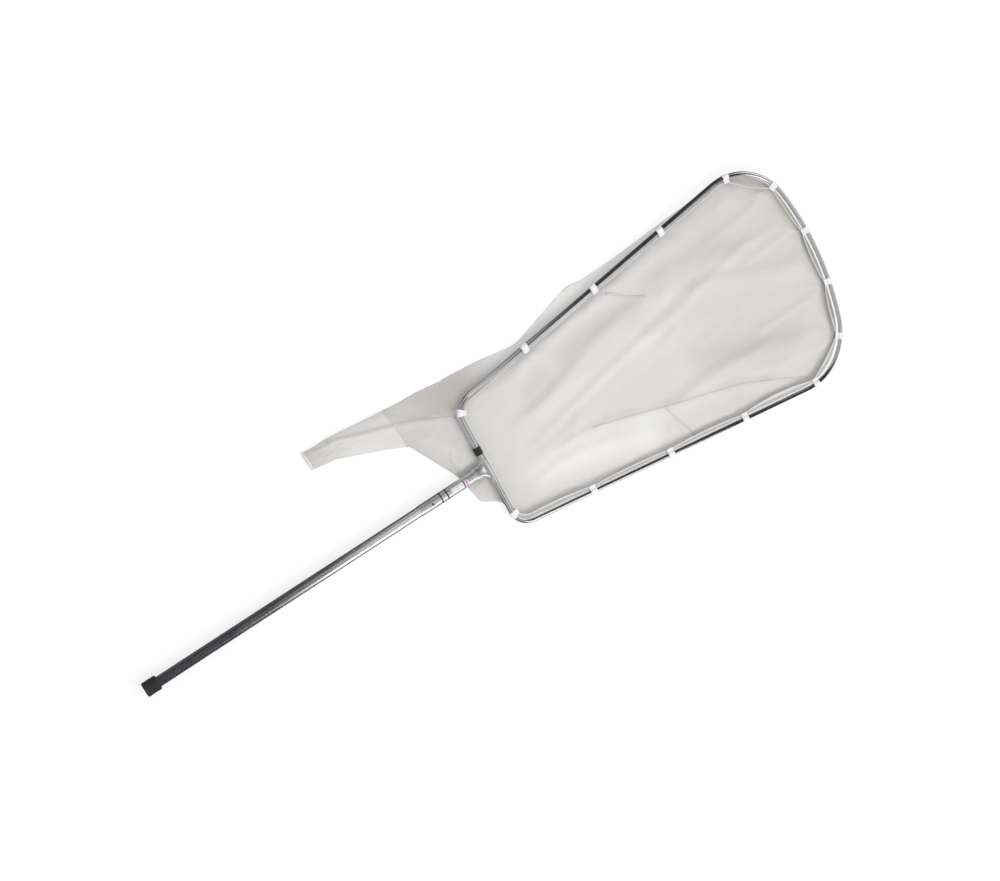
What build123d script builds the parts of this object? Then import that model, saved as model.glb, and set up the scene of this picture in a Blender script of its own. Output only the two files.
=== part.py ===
"""Scoop net with a long pole, a bent-tube hoop and a deep mesh bag, lying on the ground.

Frame, millimetres: +X runs along the pole towards the hoop, +Z is up and z = 0 is the ground.
The origin is on the ground under the middle of the whole net. The crossbar of the hoop, where the
tee joins it, stands at tee_x.
"""
import os
from math import atan2, cos, degrees, hypot, radians, sin, sqrt, tan

from build123d import *

os.makedirs("parts", exist_ok=True)

# ---- driving dimensions ------------------------------------------------------------------------
axis_height = 20.0        # the pole and the hoop lie in one plane at this height
running_gap = 0.05        # radial clearance of every sliding fit

pole_radius = 14.0
pole_wall = 1.5
socket_wall = 1.2
hoop_tube_radius = 6.35
hoop_tube_wall = 1.2

hoop_length = 1208.0      # crossbar axis to the middle of the far bow, along X
crossbar_half = 192.0     # half width of the hoop, measured to the sharp corner at the crossbar
rail_angle = 8.4          # degrees by which each side rail spreads away from the pole axis
near_corner_radius = 58.0
far_corner_radius = 177.0
bow_radius = 850.0

# distances behind the crossbar, along the pole
socket_mouth = 222.0
socket_floor = 46.0
pole_inner_end = 95.0
pole_outer_end = 1054.0
cap_end = 1060.0
cap_depth = 40.0
cap_radius = axis_height

tee_x = (cap_end - hoop_length - hoop_tube_radius) / 2

clip_length = 19.0
clip_bore = hoop_tube_radius + running_gap
clip_radius = 8.7
near_clip_distance = 170.0    # along the tube, from the middle of the crossbar to the first clip
rail_gaps = 4                 # clips stand at equal steps along each rail...
rail_step = 262.5
bow_gaps = 5                  # ...and at closer steps round the far bow
bow_step = 170.5

fabric = 2.0              # thickness of the plain solids that stand for the mesh cloth
hem_inset = 11.5
hem_width = 5.0
hem_height = 4.0
band_inset = 12.5
band_width = 2.5
seam_x = -168.0           # seam between throat and tail sleeve, from the crossbar


def ahead(distance):
    """Row x of a place this far ahead of the crossbar; negative is towards the pole."""
    return tee_x + distance


def finish(piece, name):
    """Label one finished piece and write it."""
    piece.part.label = name
    export_step(piece.part, f"parts/{name}.step")


# ---- the hoop's centre line --------------------------------------------------------------------
spread = radians(rail_angle)
rail_along = (cos(spread), sin(spread))
rail_out = (-sin(spread), cos(spread))
near_centre = (
    near_corner_radius,
    crossbar_half - near_corner_radius * tan((radians(90) - spread) / 2),
)
bow_centre = (hoop_length - bow_radius, 0.0)


def far_corner_centre():
    """Centre of the far corner's arc, tangent inside both the rail and the bow."""
    reach = bow_radius - far_corner_radius
    inward = near_corner_radius - far_corner_radius
    start = (
        near_centre[0] + inward * rail_out[0] - bow_centre[0],
        near_centre[1] + inward * rail_out[1] - bow_centre[1],
    )
    along = start[0] * rail_along[0] + start[1] * rail_along[1]
    travel = -along + sqrt(along**2 - hypot(*start) ** 2 + reach**2)
    return (
        bow_centre[0] + start[0] + travel * rail_along[0],
        bow_centre[1] + start[1] + travel * rail_along[1],
    )


far_centre = far_corner_centre()
bow_angle = degrees(atan2(far_centre[1] - bow_centre[1], far_centre[0] - bow_centre[0]))
rail_normal = 90 + rail_angle


def arc_point(centre, radius, angle):
    """A point of an arc, as row x and y."""
    return (
        ahead(centre[0] + radius * cos(radians(angle))),
        centre[1] + radius * sin(radians(angle)),
    )


def mirrored(point):
    return (point[0], -point[1])


def rail_and_corners(inset, side):
    """One half of the hoop line from the crossbar to the bow, inset towards the middle."""
    near = near_corner_radius - inset
    far = far_corner_radius - inset
    place = mirrored if side < 0 else tuple
    ThreePointArc(
        place(arc_point(near_centre, near, 180)),
        place(arc_point(near_centre, near, (180 + rail_normal) / 2)),
        place(arc_point(near_centre, near, rail_normal)),
    )
    Line(
        place(arc_point(near_centre, near, rail_normal)),
        place(arc_point(far_centre, far, rail_normal)),
    )
    ThreePointArc(
        place(arc_point(far_centre, far, rail_normal)),
        place(arc_point(far_centre, far, (rail_normal + bow_angle) / 2)),
        place(arc_point(far_centre, far, bow_angle)),
    )


def bow(inset):
    """The gentle arc that closes the far end."""
    top = arc_point(bow_centre, bow_radius - inset, bow_angle)
    ThreePointArc(top, (ahead(hoop_length - inset), 0), mirrored(top))


def closed_hoop_line(inset):
    """The whole loop, crossbar included."""
    rail_and_corners(inset, +1)
    bow(inset)
    rail_and_corners(inset, -1)
    corner = arc_point(near_centre, near_corner_radius - inset, 180)
    Line(mirrored(corner), corner)


hoop_plane = Plane.XY.offset(axis_height)
spigot_tip = 62.0         # the tee's upper arm ends this far from the pole axis
tube_upper_end = 50.0     # the hoop tube's free end, over the spigot
tube_lower_end = -15.0    # its fixed end, inside the tee's lower arm

# ---- hoop tube ---------------------------------------------------------------------------------
with BuildPart() as hoop_tube:
    with BuildLine(hoop_plane) as hoop_line:
        Line((ahead(0), tube_upper_end), arc_point(near_centre, near_corner_radius, 180))
        rail_and_corners(0, +1)
        bow(0)
        rail_and_corners(0, -1)
        lower_corner = mirrored(arc_point(near_centre, near_corner_radius, 180))
        Line(lower_corner, (ahead(0), tube_lower_end))
    with BuildSketch(Plane((ahead(0), tube_upper_end, axis_height), z_dir=(0, 1, 0))):
        Circle(hoop_tube_radius)
        Circle(hoop_tube_radius - hoop_tube_wall, mode=Mode.SUBTRACT)
    sweep(path=hoop_line.wires()[0])
finish(hoop_tube, "hoop_tube")

# ---- tee: socket for the pole, flared into the two arms of the crossbar ------------------------
socket_radius = pole_radius + running_gap + socket_wall
arm_radius = hoop_tube_radius + running_gap + socket_wall
spigot_radius = hoop_tube_radius - hoop_tube_wall - running_gap
lower_arm_reach = 46.0
upper_arm_reach = 22.0
arm_bore_start = 14.0
# the flare, as (distance from the crossbar, half width across, half height)
flare_sections = [
    (-44.0, socket_radius, socket_radius),
    (-26.0, 17.0, 13.6),
    (-14.0, 22.5, 10.2),
    (-6.5, 32.0, 7.6),
    (0.0, 34.0, 7.0),
]

with BuildPart() as yoke_tee:
    with BuildSketch(Plane((ahead(-socket_mouth), 0, axis_height), z_dir=(1, 0, 0))):
        Circle(socket_radius)
    extrude(amount=socket_mouth - 44.0)
    for distance, half_width, half_height in flare_sections:
        section = Plane((ahead(distance), 0, axis_height), x_dir=(0, 1, 0), z_dir=(1, 0, 0))
        with BuildSketch(section):
            Ellipse(half_width, half_height)
    loft()
    with BuildSketch(Plane((ahead(0), -lower_arm_reach, axis_height), z_dir=(0, 1, 0))):
        Circle(arm_radius)
    extrude(amount=lower_arm_reach + upper_arm_reach)
    with BuildSketch(Plane((ahead(0), upper_arm_reach, axis_height), z_dir=(0, 1, 0))):
        Circle(spigot_radius)
    extrude(amount=spigot_tip - upper_arm_reach)
    shoulder = yoke_tee.edges().filter_by(GeomType.CIRCLE).sort_by(Axis.Y)[-1]
    chamfer(shoulder, 1.0)
    with BuildSketch(Plane((ahead(-socket_mouth), 0, axis_height), z_dir=(1, 0, 0))):
        Circle(pole_radius + running_gap)
    extrude(amount=socket_mouth - socket_floor, mode=Mode.SUBTRACT)
    with BuildSketch(Plane((ahead(0), -lower_arm_reach, axis_height), z_dir=(0, 1, 0))):
        Circle(hoop_tube_radius + running_gap)
    extrude(amount=lower_arm_reach - arm_bore_start, mode=Mode.SUBTRACT)
finish(yoke_tee, "yoke_tee")

# ---- black collar over the joint of spigot and hoop tube ---------------------------------------
collar_radius = 11.0
collar_start = 42.0
collar_length = 22.0
collar_groove = 1.2

with BuildPart() as joint_collar:
    with BuildSketch(Plane((ahead(0), collar_start, axis_height), z_dir=(0, 1, 0))):
        Circle(collar_radius)
        Circle(hoop_tube_radius + running_gap, mode=Mode.SUBTRACT)
    extrude(amount=collar_length)
    rims = joint_collar.edges().filter_by(GeomType.CIRCLE).sort_by(SortBy.RADIUS)[-2:]
    chamfer(rims, 1.2)
    for groove in range(1, 4):
        middle = collar_start + groove * collar_length / 4
        with BuildSketch(Plane((ahead(0), middle, axis_height), z_dir=(0, 1, 0))):
            Circle(collar_radius + 1)
            Circle(collar_radius - 0.6, mode=Mode.SUBTRACT)
        extrude(amount=collar_groove / 2, both=True, mode=Mode.SUBTRACT)
finish(joint_collar, "joint_collar")

# ---- snap-on clips round the hoop --------------------------------------------------------------
clip_lug_reach = 17.5
clip_lug_bottom = 1.2
clip_lug_top = 3.4
clip_mouth = 6.0

clip_distances = [near_clip_distance]
for gap in range(rail_gaps + bow_gaps + rail_gaps):
    on_bow = rail_gaps <= gap < rail_gaps + bow_gaps
    clip_distances.append(clip_distances[-1] + (bow_step if on_bow else rail_step))

hoop_wire = hoop_line.wires()[0]
for number, distance in enumerate(clip_distances, start=1):
    middle = distance - tube_upper_end
    first = (middle - clip_length / 2) / hoop_wire.length
    last = (middle + clip_length / 2) / hoop_wire.length
    stretch = hoop_wire.trim(first, last)
    start = stretch.position_at(0)
    along = stretch.tangent_at(0)
    inward = along.cross(Vector(0, 0, 1))
    with BuildPart() as clip:
        with BuildSketch(Plane(origin=start, x_dir=inward, z_dir=along)) as clip_section:
            Circle(clip_radius)
            with Locations((clip_radius, (clip_lug_bottom + clip_lug_top) / -2)):
                Rectangle(2 * (clip_lug_reach - clip_radius), clip_lug_top - clip_lug_bottom)
            Circle(clip_bore, mode=Mode.SUBTRACT)
            with Locations((-clip_radius, 0)):
                Rectangle(clip_radius, clip_mouth, mode=Mode.SUBTRACT)
        sweep(path=stretch)
    finish(clip, f"frame_clip_{number:02d}")

# ---- mouth hem: the folded tape that the clips hold --------------------------------------------
hem_bottom = axis_height - 2.8
with BuildPart() as mouth_hem:
    with BuildSketch(Plane.XY.offset(hem_bottom)):
        with BuildLine():
            closed_hoop_line(hem_inset)
        make_face()
        with BuildLine():
            closed_hoop_line(hem_inset + hem_width)
        make_face(mode=Mode.SUBTRACT)
    extrude(amount=hem_height)
finish(mouth_hem, "mouth_hem")

# ---- side band: the wall of the bag from the hem down to the ground, open at the crossbar ------
band_start = 30.0
with BuildPart() as bag_side_band:
    with BuildSketch(Plane.XY.offset(fabric)):
        with BuildLine():
            closed_hoop_line(band_inset)
        make_face()
        with BuildLine():
            closed_hoop_line(band_inset + band_width)
        make_face(mode=Mode.SUBTRACT)
        with Locations((ahead(band_start - 50), 0)):
            Rectangle(100, 2 * crossbar_half + 40, mode=Mode.SUBTRACT)
    extrude(amount=hem_bottom - fabric)
finish(bag_side_band, "bag_side_band")

# ---- lower panel: the cloth that lies on the ground, under the hoop and out beyond one rail ----
# outline of the part outside the hoop, as (ahead of the crossbar, across)
spread_outline = [
    (1000, 336),
    (776, 321),
    (627, 308),
    (491, 303),
    (455, 312),
    (345, 278),
    (242, 250),
    (116, 266),
    (seam_x, 285),
    (seam_x, 163),
    (-79, 15),
    (-54, -76),
    (-12, -103),
    (40, -103),
    (60, 150),
]
with BuildPart() as bag_lower_panel:
    with BuildSketch():
        with BuildLine():
            closed_hoop_line(2)
        make_face()
        with BuildLine():
            Polyline([(ahead(x), y) for x, y in spread_outline], close=True)
        make_face()
    extrude(amount=fabric)
finish(bag_lower_panel, "bag_lower_panel")

# ---- throat panel: the upper cloth that runs back under the crossbar to the tail ----------------
# (ahead of the crossbar, low edge, high edge, height); it stays flat under the crossbar
throat_sections = [
    (14.0, -112.0, 148.0, 8.6),
    (-11.0, -90.0, 252.0, 8.6),
    (-17.0, 8.0, 260.0, 8.6),
    (-42.0, 22.0, 275.0, 25.0),
    (-78.0, 22.0, 280.0, 38.0),
    (-120.0, 92.0, 282.0, 38.0),
    (seam_x, 164.0, 284.0, 30.0),
]


def across_plane(distance, low, high, height):
    """A plane across the bag, centred between two edges at a height."""
    return Plane((ahead(distance), (low + high) / 2, height), x_dir=(0, 1, 0), z_dir=(1, 0, 0))


def low_arch(low, high, height, thinner):
    """A flat roof with rounded sides that stands on the lower panel."""
    width = high - low - 2 * thinner
    SlotOverall(width, 2 * (height - fabric - thinner))
    with Locations((0, -height)):
        Rectangle(width + 1, 2 * height, mode=Mode.SUBTRACT)


throat_end = 1.0          # how far the hollow runs out past each end of the throat
with BuildPart() as bag_throat_panel:
    for distance, low, high, height in throat_sections:
        with BuildSketch(across_plane(distance, low, high, fabric)):
            low_arch(low, high, height, 0)
    loft(ruled=True)
    hollow = [
        (throat_sections[0][0] + throat_end, *throat_sections[0][1:]),
        *throat_sections[1:-1],
        (throat_sections[-1][0] - throat_end, *throat_sections[-1][1:]),
    ]
    for distance, low, high, height in hollow:
        with BuildSketch(across_plane(distance, low, high, fabric)):
            low_arch(low, high, height, fabric)
    loft(ruled=True, mode=Mode.SUBTRACT)
finish(bag_throat_panel, "bag_throat_panel")

# ---- tail sleeve: the sewn tube that ends the bag, open at its tip ------------------------------
tail_sections = [
    (seam_x - 0.5, 164.0, 284.0, 30.0),
    (-255.0, 200.0, 292.0, 25.0),
    (-340.0, 233.0, 299.0, 21.0),
    (-400.0, 246.0, 302.0, 18.0),
]
sleeve_wall = 1.6
tail_tip = -413.0
tail_hem_wall = 1.2


with BuildPart() as tail_sleeve:
    for distance, low, high, height in tail_sections:
        with BuildSketch(across_plane(distance, low, high, height / 2)):
            Ellipse((high - low) / 2, height / 2)
    loft(ruled=True)
    for distance, low, high, height in tail_sections:
        with BuildSketch(across_plane(distance, low, high, height / 2)):
            Ellipse((high - low) / 2 - sleeve_wall, height / 2 - sleeve_wall)
    loft(ruled=True, mode=Mode.SUBTRACT)
finish(tail_sleeve, "tail_sleeve")

with BuildPart() as tail_hem:
    low, high, height = tail_sections[-1][1:]
    half_width = (high - low) / 2
    hem_wall = 2 * tail_hem_wall
    with BuildSketch(across_plane(tail_tip, low, high, height / 2)):
        Ellipse(half_width, height / 2)
        Ellipse(half_width - hem_wall, height / 2 - hem_wall, mode=Mode.SUBTRACT)
    extrude(amount=tail_sections[-1][0] - tail_tip)
finish(tail_hem, "tail_hem")

# ---- pole tube -----------------------------------------------------------------------------------
with BuildPart() as pole_tube:
    with BuildSketch(Plane((ahead(-pole_outer_end), 0, axis_height), z_dir=(1, 0, 0))):
        Circle(pole_radius)
        Circle(pole_radius - pole_wall, mode=Mode.SUBTRACT)
    extrude(amount=pole_outer_end - pole_inner_end)
finish(pole_tube, "pole_tube")

# ---- rubber end cap, pushed over the pole and resting on the ground ------------------------------
cap_rib = 1.2
with BuildPart() as pole_end_cap:
    with BuildSketch(Plane((ahead(-cap_end), 0, axis_height), z_dir=(1, 0, 0))):
        Circle(cap_radius)
    extrude(amount=cap_depth)
    outer = pole_end_cap.edges().filter_by(GeomType.CIRCLE).sort_by(Axis.X)
    fillet(outer[0], 4.0)
    chamfer(pole_end_cap.edges().filter_by(GeomType.CIRCLE).sort_by(Axis.X)[-1], 3.0, 4.5)
    with BuildSketch(Plane((ahead(-pole_outer_end), 0, axis_height), z_dir=(1, 0, 0))):
        Circle(pole_radius)
    extrude(amount=cap_depth, mode=Mode.SUBTRACT)
    for groove in range(3):
        place = -cap_end + 12 + 7 * groove
        with BuildSketch(Plane((ahead(place), 0, axis_height), z_dir=(1, 0, 0))):
            Circle(cap_radius + 1)
            Circle(cap_radius - cap_rib, mode=Mode.SUBTRACT)
        extrude(amount=2.0, mode=Mode.SUBTRACT)
finish(pole_end_cap, "pole_end_cap")

# ---- twist lock inside the socket: a spindle fixed in the pole, an expander sleeve round it ------
plug_depth = 22.0
flange_radius = 13.6
flange_thickness = 3.0
spindle_radius = 4.0
spindle_tip = 52.0
head_radius = 9.0
head_thickness = 3.0
expander_radius = pole_radius - 0.15
expander_slit = 3.0
expander_play = 1.0

with BuildPart() as lock_spindle:
    with BuildSketch(Plane((ahead(-pole_inner_end - plug_depth), 0, axis_height), z_dir=(1, 0, 0))):
        Circle(pole_radius - pole_wall)
    extrude(amount=plug_depth)
    with BuildSketch(Plane((ahead(-pole_inner_end), 0, axis_height), z_dir=(1, 0, 0))):
        Circle(flange_radius)
    extrude(amount=flange_thickness)
    with BuildSketch(Plane((ahead(-pole_inner_end), 0, axis_height), z_dir=(1, 0, 0))):
        Circle(spindle_radius)
    extrude(amount=pole_inner_end - spindle_tip)
    with BuildSketch(Plane((ahead(-spindle_tip), 0, axis_height), z_dir=(-1, 0, 0))):
        Circle(head_radius)
    extrude(amount=head_thickness)
finish(lock_spindle, "lock_spindle")

expander_back = -pole_inner_end + flange_thickness + expander_play
expander_front = -spindle_tip - head_thickness - expander_play
with BuildPart() as expander_sleeve:
    with BuildSketch(Plane((ahead(expander_back), 0, axis_height), z_dir=(1, 0, 0))):
        Circle(expander_radius)
        Circle(spindle_radius + running_gap, mode=Mode.SUBTRACT)
        with Locations((0, expander_radius / 2 + 1)):
            Rectangle(expander_slit, expander_radius + 2, mode=Mode.SUBTRACT)
    extrude(amount=expander_front - expander_back)
finish(expander_sleeve, "expander_sleeve")

# ---- thin marks on the outside of the socket -----------------------------------------------------
mark_thickness = 0.25
label_start = -122.0
label_end = -68.0
label_half_width = 9.0
band_places = (-138.0, -157.0)
band_length = 3.5
dot_place = -184.0
dot_radius = 3.6


def skin_plane(start):
    return Plane((ahead(start), 0, axis_height), z_dir=(1, 0, 0))


def socket_skin():
    """The section of a very thin ring round the socket."""
    Circle(socket_radius + mark_thickness)
    Circle(socket_radius, mode=Mode.SUBTRACT)


with BuildPart() as socket_label:
    with BuildSketch(skin_plane(label_start)):
        socket_skin()
    extrude(amount=label_end - label_start)
    with BuildSketch(Plane.XY.offset(axis_height)):
        with Locations((ahead((label_start + label_end) / 2), 0)):
            RectangleRounded(label_end - label_start, 2 * label_half_width, 4)
    extrude(amount=2 * socket_radius, mode=Mode.INTERSECT)
finish(socket_label, "socket_label")

for number, place in enumerate(band_places, start=1):
    with BuildPart() as depth_band:
        with BuildSketch(skin_plane(place)):
            socket_skin()
        extrude(amount=band_length)
    finish(depth_band, f"depth_band_{number}")

with BuildPart() as twist_mark:
    with BuildSketch(skin_plane(dot_place - dot_radius - 1)):
        socket_skin()
    extrude(amount=2 * dot_radius + 2)
    with BuildSketch(Plane.XY.offset(axis_height)):
        with Locations((ahead(dot_place), 0)):
            Circle(dot_radius)
    extrude(amount=2 * socket_radius, mode=Mode.INTERSECT)
finish(twist_mark, "twist_mark")

print("crossbar at x", round(tee_x, 2), "hoop tube length", round(hoop_wire.length, 1))
print("clips at", [round(distance, 1) for distance in clip_distances])
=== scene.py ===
# %% [markdown]
# # A scoop net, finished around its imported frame
# The frame holds the parts that have a true shape already: the pole, the tee, the bent hoop, the
# clips, the collar and the end cap. They stay where they are and only get better finishes. The bag
# is another matter: in the frame it is plain plates, so it is built here as cloth, with its rim,
# seams and stitches.

import math

import bmesh
import bpy
import numpy as np
from mathutils import Matrix, Vector, noise
from mathutils.bvhtree import BVHTree


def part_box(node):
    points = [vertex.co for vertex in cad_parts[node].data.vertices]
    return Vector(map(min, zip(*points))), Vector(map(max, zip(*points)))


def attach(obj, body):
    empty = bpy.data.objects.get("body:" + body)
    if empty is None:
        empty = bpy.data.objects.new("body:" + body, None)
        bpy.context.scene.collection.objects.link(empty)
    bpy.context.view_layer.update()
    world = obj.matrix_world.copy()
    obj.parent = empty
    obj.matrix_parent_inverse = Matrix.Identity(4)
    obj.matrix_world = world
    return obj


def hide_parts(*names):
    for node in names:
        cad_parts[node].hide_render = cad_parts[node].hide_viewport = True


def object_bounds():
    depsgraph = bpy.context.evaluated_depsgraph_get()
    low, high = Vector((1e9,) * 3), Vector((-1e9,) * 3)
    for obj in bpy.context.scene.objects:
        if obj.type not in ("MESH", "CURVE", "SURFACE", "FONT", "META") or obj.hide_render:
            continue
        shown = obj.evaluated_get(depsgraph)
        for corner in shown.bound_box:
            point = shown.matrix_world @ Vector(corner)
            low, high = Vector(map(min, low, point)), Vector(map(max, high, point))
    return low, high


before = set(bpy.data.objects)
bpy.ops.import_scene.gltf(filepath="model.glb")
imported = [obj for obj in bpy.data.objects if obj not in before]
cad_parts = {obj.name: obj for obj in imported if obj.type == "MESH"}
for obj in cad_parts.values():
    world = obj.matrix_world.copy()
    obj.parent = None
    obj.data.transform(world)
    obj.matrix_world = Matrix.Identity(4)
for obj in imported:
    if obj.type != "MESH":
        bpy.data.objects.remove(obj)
cad_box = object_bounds()

# %% [markdown]
# ## Where things are
# Every place is worked out from the frame. The collar sits on the crossbar, so its middle gives
# the crossbar's line and the height of the hoop. The bends of the hoop are arcs of a few radii.

# %% Sizes read from the frame
MM = 0.001
collar_low, collar_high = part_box("joint_collar")
hoop_low, hoop_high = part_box("hoop_tube")
crossbar_x = (collar_low.x + collar_high.x) / 2
axis_z = (collar_low.z + collar_high.z) / 2
tube_radius = (hoop_high.z - hoop_low.z) / 2
hoop_length = hoop_high.x - tube_radius - crossbar_x
print(f"crossbar at {crossbar_x:.4f}, axis {axis_z:.4f} up, hoop {hoop_length:.3f} long")

crossbar_half = 192 * MM
rail_angle = math.radians(8.4)
near_corner = 58 * MM
far_corner = 177 * MM
bow_radius = 850 * MM


# %% Small helpers for lines of points
def spaced(points, count):
    """count points at equal steps along a line of points."""
    points = np.asarray(points, float)
    steps = np.linalg.norm(np.diff(points, axis=0), axis=1)
    along = np.concatenate([[0], np.cumsum(steps)])
    wanted = np.linspace(0, along[-1], count)
    return np.stack([np.interp(wanted, along, axis) for axis in points.T], axis=1)


def curved(points, count):
    """A smooth line through a few points, as count equal steps."""
    points = np.asarray(points, float)
    ends = np.vstack([2 * points[0] - points[1], points, 2 * points[-1] - points[-2]])
    line = []
    for a, b, c, d in zip(ends, ends[1:], ends[2:], ends[3:]):
        for f in np.linspace(0, 1, 12, endpoint=False):
            bend = 2 * b + (c - a) * f + (2 * a - 5 * b + 4 * c - d) * f**2
            line.append((bend + (3 * b - a - 3 * c + d) * f**3) / 2)
    return spaced(line + [points[-1]], count)


def arc(centre, radius, start, end, count=24):
    angles = np.linspace(start, end, count)
    return np.stack([centre[0] + radius * np.cos(angles), centre[1] + radius * np.sin(angles)], 1)


def smooth_step(value):
    value = np.clip(value, 0, 1)
    return value * value * (3 - 2 * value)


# %% The hoop's line, ahead of the crossbar and across
rail_out = np.array([-math.sin(rail_angle), math.cos(rail_angle)])
rail_along = np.array([math.cos(rail_angle), math.sin(rail_angle)])
near_centre = np.array(
    [near_corner, crossbar_half - near_corner * math.tan((math.pi / 2 - rail_angle) / 2)]
)
bow_centre = np.array([hoop_length - bow_radius, 0])
start = near_centre + (near_corner - far_corner) * rail_out - bow_centre
travel = -start @ rail_along
travel += math.sqrt((start @ rail_along) ** 2 - start @ start + (bow_radius - far_corner) ** 2)
far_centre = bow_centre + start + travel * rail_along
bow_angle = math.atan2(*(far_centre - bow_centre)[::-1])
rail_normal = math.pi / 2 + rail_angle


def upper_rail(count, inset=0.0):
    """From the crossbar's end round the near corner, along the rail and round the far corner."""
    near = arc(near_centre, near_corner - inset, math.pi, rail_normal)
    far = arc(far_centre, far_corner - inset, rail_normal, bow_angle)
    return spaced(np.vstack([near, far]), count)


def lower_rail(count, inset=0.0):
    return upper_rail(count, inset) * (1, -1)


def bow(count, inset=0.0):
    """The far end, from the upper side to the lower."""
    return spaced(arc(bow_centre, bow_radius - inset, bow_angle, -bow_angle), count)


def run_length(line):
    return float(np.linalg.norm(np.diff(line, axis=0), axis=1).sum())


rail_run = run_length(upper_rail(600))
bow_run = run_length(bow(300))
half_crossbar = float(near_centre[1])
print(f"rail {rail_run:.3f} m, bow {bow_run:.3f} m, crossbar {2 * half_crossbar:.3f} m")

# %% [markdown]
# ## The rim's line
# The rim of the bag is a folded tape that hangs from fourteen clips. Between two clips it sags
# inwards a little, more round the far bow, where a straight pull cuts the corner. One function
# gives the tape's line, and both the tape and the cloth use it, so they always meet.

# %% The sagging rim
rim_inset = 11.5 * MM
first_clip = 170 * MM
clip_steps = np.array([262.5] * 4 + [170.5] * 5 + [262.5] * 4) * MM
clip_places = first_clip + np.concatenate([[0], np.cumsum(clip_steps)])
# how far the rim sags between each pair of clips, round from the upper near corner
rim_sags = np.array([2, 3, 3, 4, 24, 9, 12, 13, 15, 13, 6, 5, 9]) * MM

middle = np.array([[0.0, 0.0]])
loop_line = np.vstack(
    [middle, upper_rail(600), bow(300)[1:], lower_rail(600)[::-1][1:], middle]
)
loop_places = np.concatenate(
    [[0], np.cumsum(np.linalg.norm(np.diff(loop_line, axis=0), axis=1))]
)
loop_total = loop_places[-1]


def loop_point(place):
    place = place % loop_total
    return np.array([np.interp(place, loop_places, axis) for axis in loop_line.T])


def loop_inward(place):
    """The direction from the tube towards the middle of the hoop."""
    run = loop_point(place + 2 * MM) - loop_point(place - 2 * MM)
    run /= np.linalg.norm(run)
    return np.array([run[1], -run[0]])


def rim_sag(place):
    place = place % loop_total
    if place < clip_places[0] or place > clip_places[-1]:
        return 0.0
    gap = int(np.searchsorted(clip_places, place, side="right")) - 1
    gap = min(gap, len(clip_steps) - 1)
    share = (place - clip_places[gap]) / clip_steps[gap]
    return rim_sags[gap] * math.sin(math.pi * share) ** 0.8


def rim_point(place):
    """The rim at a distance round the loop, ahead of the crossbar and across."""
    return loop_point(place) + loop_inward(place) * (rim_inset + rim_sag(place))


print(f"rim {loop_total:.3f} m round, {len(clip_places)} clips")

# %% [markdown]
# ## The bag
# The bag is a wind sock laid on its side: its mouth faces up, and its lower cloth runs from the
# far bow along the ground to the tail. It is one grid of points. Across, the grid goes from the
# lower rail to the upper one; along, it goes from the tail seam under the crossbar to the far bow.
# The lie of the cloth is worked out, not simulated, so that it is sure to stay under the tube and
# the tee: a flat sheet, long soft folds swept towards the tail, and fine creases that start at the
# clips.

# %% Outlines of the cloth on the ground
columns = 84
rows = 132
wall_rows = 7
throat_rows = 34
top_columns = columns + 2 * wall_rows
rim_z = axis_z - 1.0 * MM
crease_z = 2.5 * MM
edge_inset = 1.5 * MM

# how far the cloth spreads past the upper rail, by distance ahead of the crossbar
spread = [(0, 273), (60, 270), (116, 266), (171, 257), (242, 247), (345, 278), (429, 304),
          (462, 313), (491, 303), (627, 308), (776, 321), (931, 331), (1000, 335), (1060, 322)]


def beyond_rail(line):
    """The upper rail's line pushed out to the cloth's outer edge."""
    outer = spaced(np.array(spread) * MM, 400)
    more = np.interp(line[:, 0], outer[:, 0], outer[:, 1]) - line[:, 1]
    soft = 5 * MM
    extra = (more + np.sqrt(more**2 + soft**2) - 0.3 * soft) / 2
    extra = np.clip(extra * smooth_step((1.05 - line[:, 0]) / 0.07), 0, None)
    for _ in range(3):
        extra[1:-1] = (extra[:-2] + 2 * extra[1:-1] + extra[2:]) / 4
    return line + np.stack([np.zeros(len(line)), extra], 1)


upper_edge = beyond_rail(upper_rail(rows + 1, edge_inset))
lower_edge = lower_rail(rows + 1, edge_inset)
far_edge = bow(columns + 1, edge_inset)[::-1]
near_edge = spaced([lower_edge[0], upper_edge[0]], columns + 1)

throat_lower = curved(
    np.array([(1.5, -142), (-3, -118), (-15, -103), (-40, -88), (-56, -78), (-60, -68), (-66, -38),
              (-79, 15), (-108, 72), (-156, 161)]) * MM, throat_rows + 1)
throat_upper = curved(np.array([(1.5, 272), (-60, 279), (-128, 281), (-172, 285)]) * MM,
                      throat_rows + 1)
throat_lower[0] = lower_edge[0]
throat_upper[0] = upper_edge[0]
seam_edge = spaced([throat_lower[-1], throat_upper[-1]], columns + 1)


def filled(low, high, first, last):
    """A grid between four edges. low and high run along, first and last run across."""
    t = np.linspace(0, 1, len(low))[:, None, None]
    s = np.linspace(0, 1, len(first))[None, :, None]
    sides = (1 - s) * low[:, None] + s * high[:, None]
    ends = (1 - t) * first[None] + t * last[None]
    corners = (1 - t) * ((1 - s) * low[0] + s * high[0])
    corners += t * ((1 - s) * low[-1] + s * high[-1])
    return sides + ends - corners


mouth_floor = filled(lower_edge, upper_edge, near_edge, far_edge)
throat_floor = filled(throat_lower, throat_upper, near_edge, seam_edge)
print("mouth grid", mouth_floor.shape[:2], "throat grid", throat_floor.shape[:2])


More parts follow.
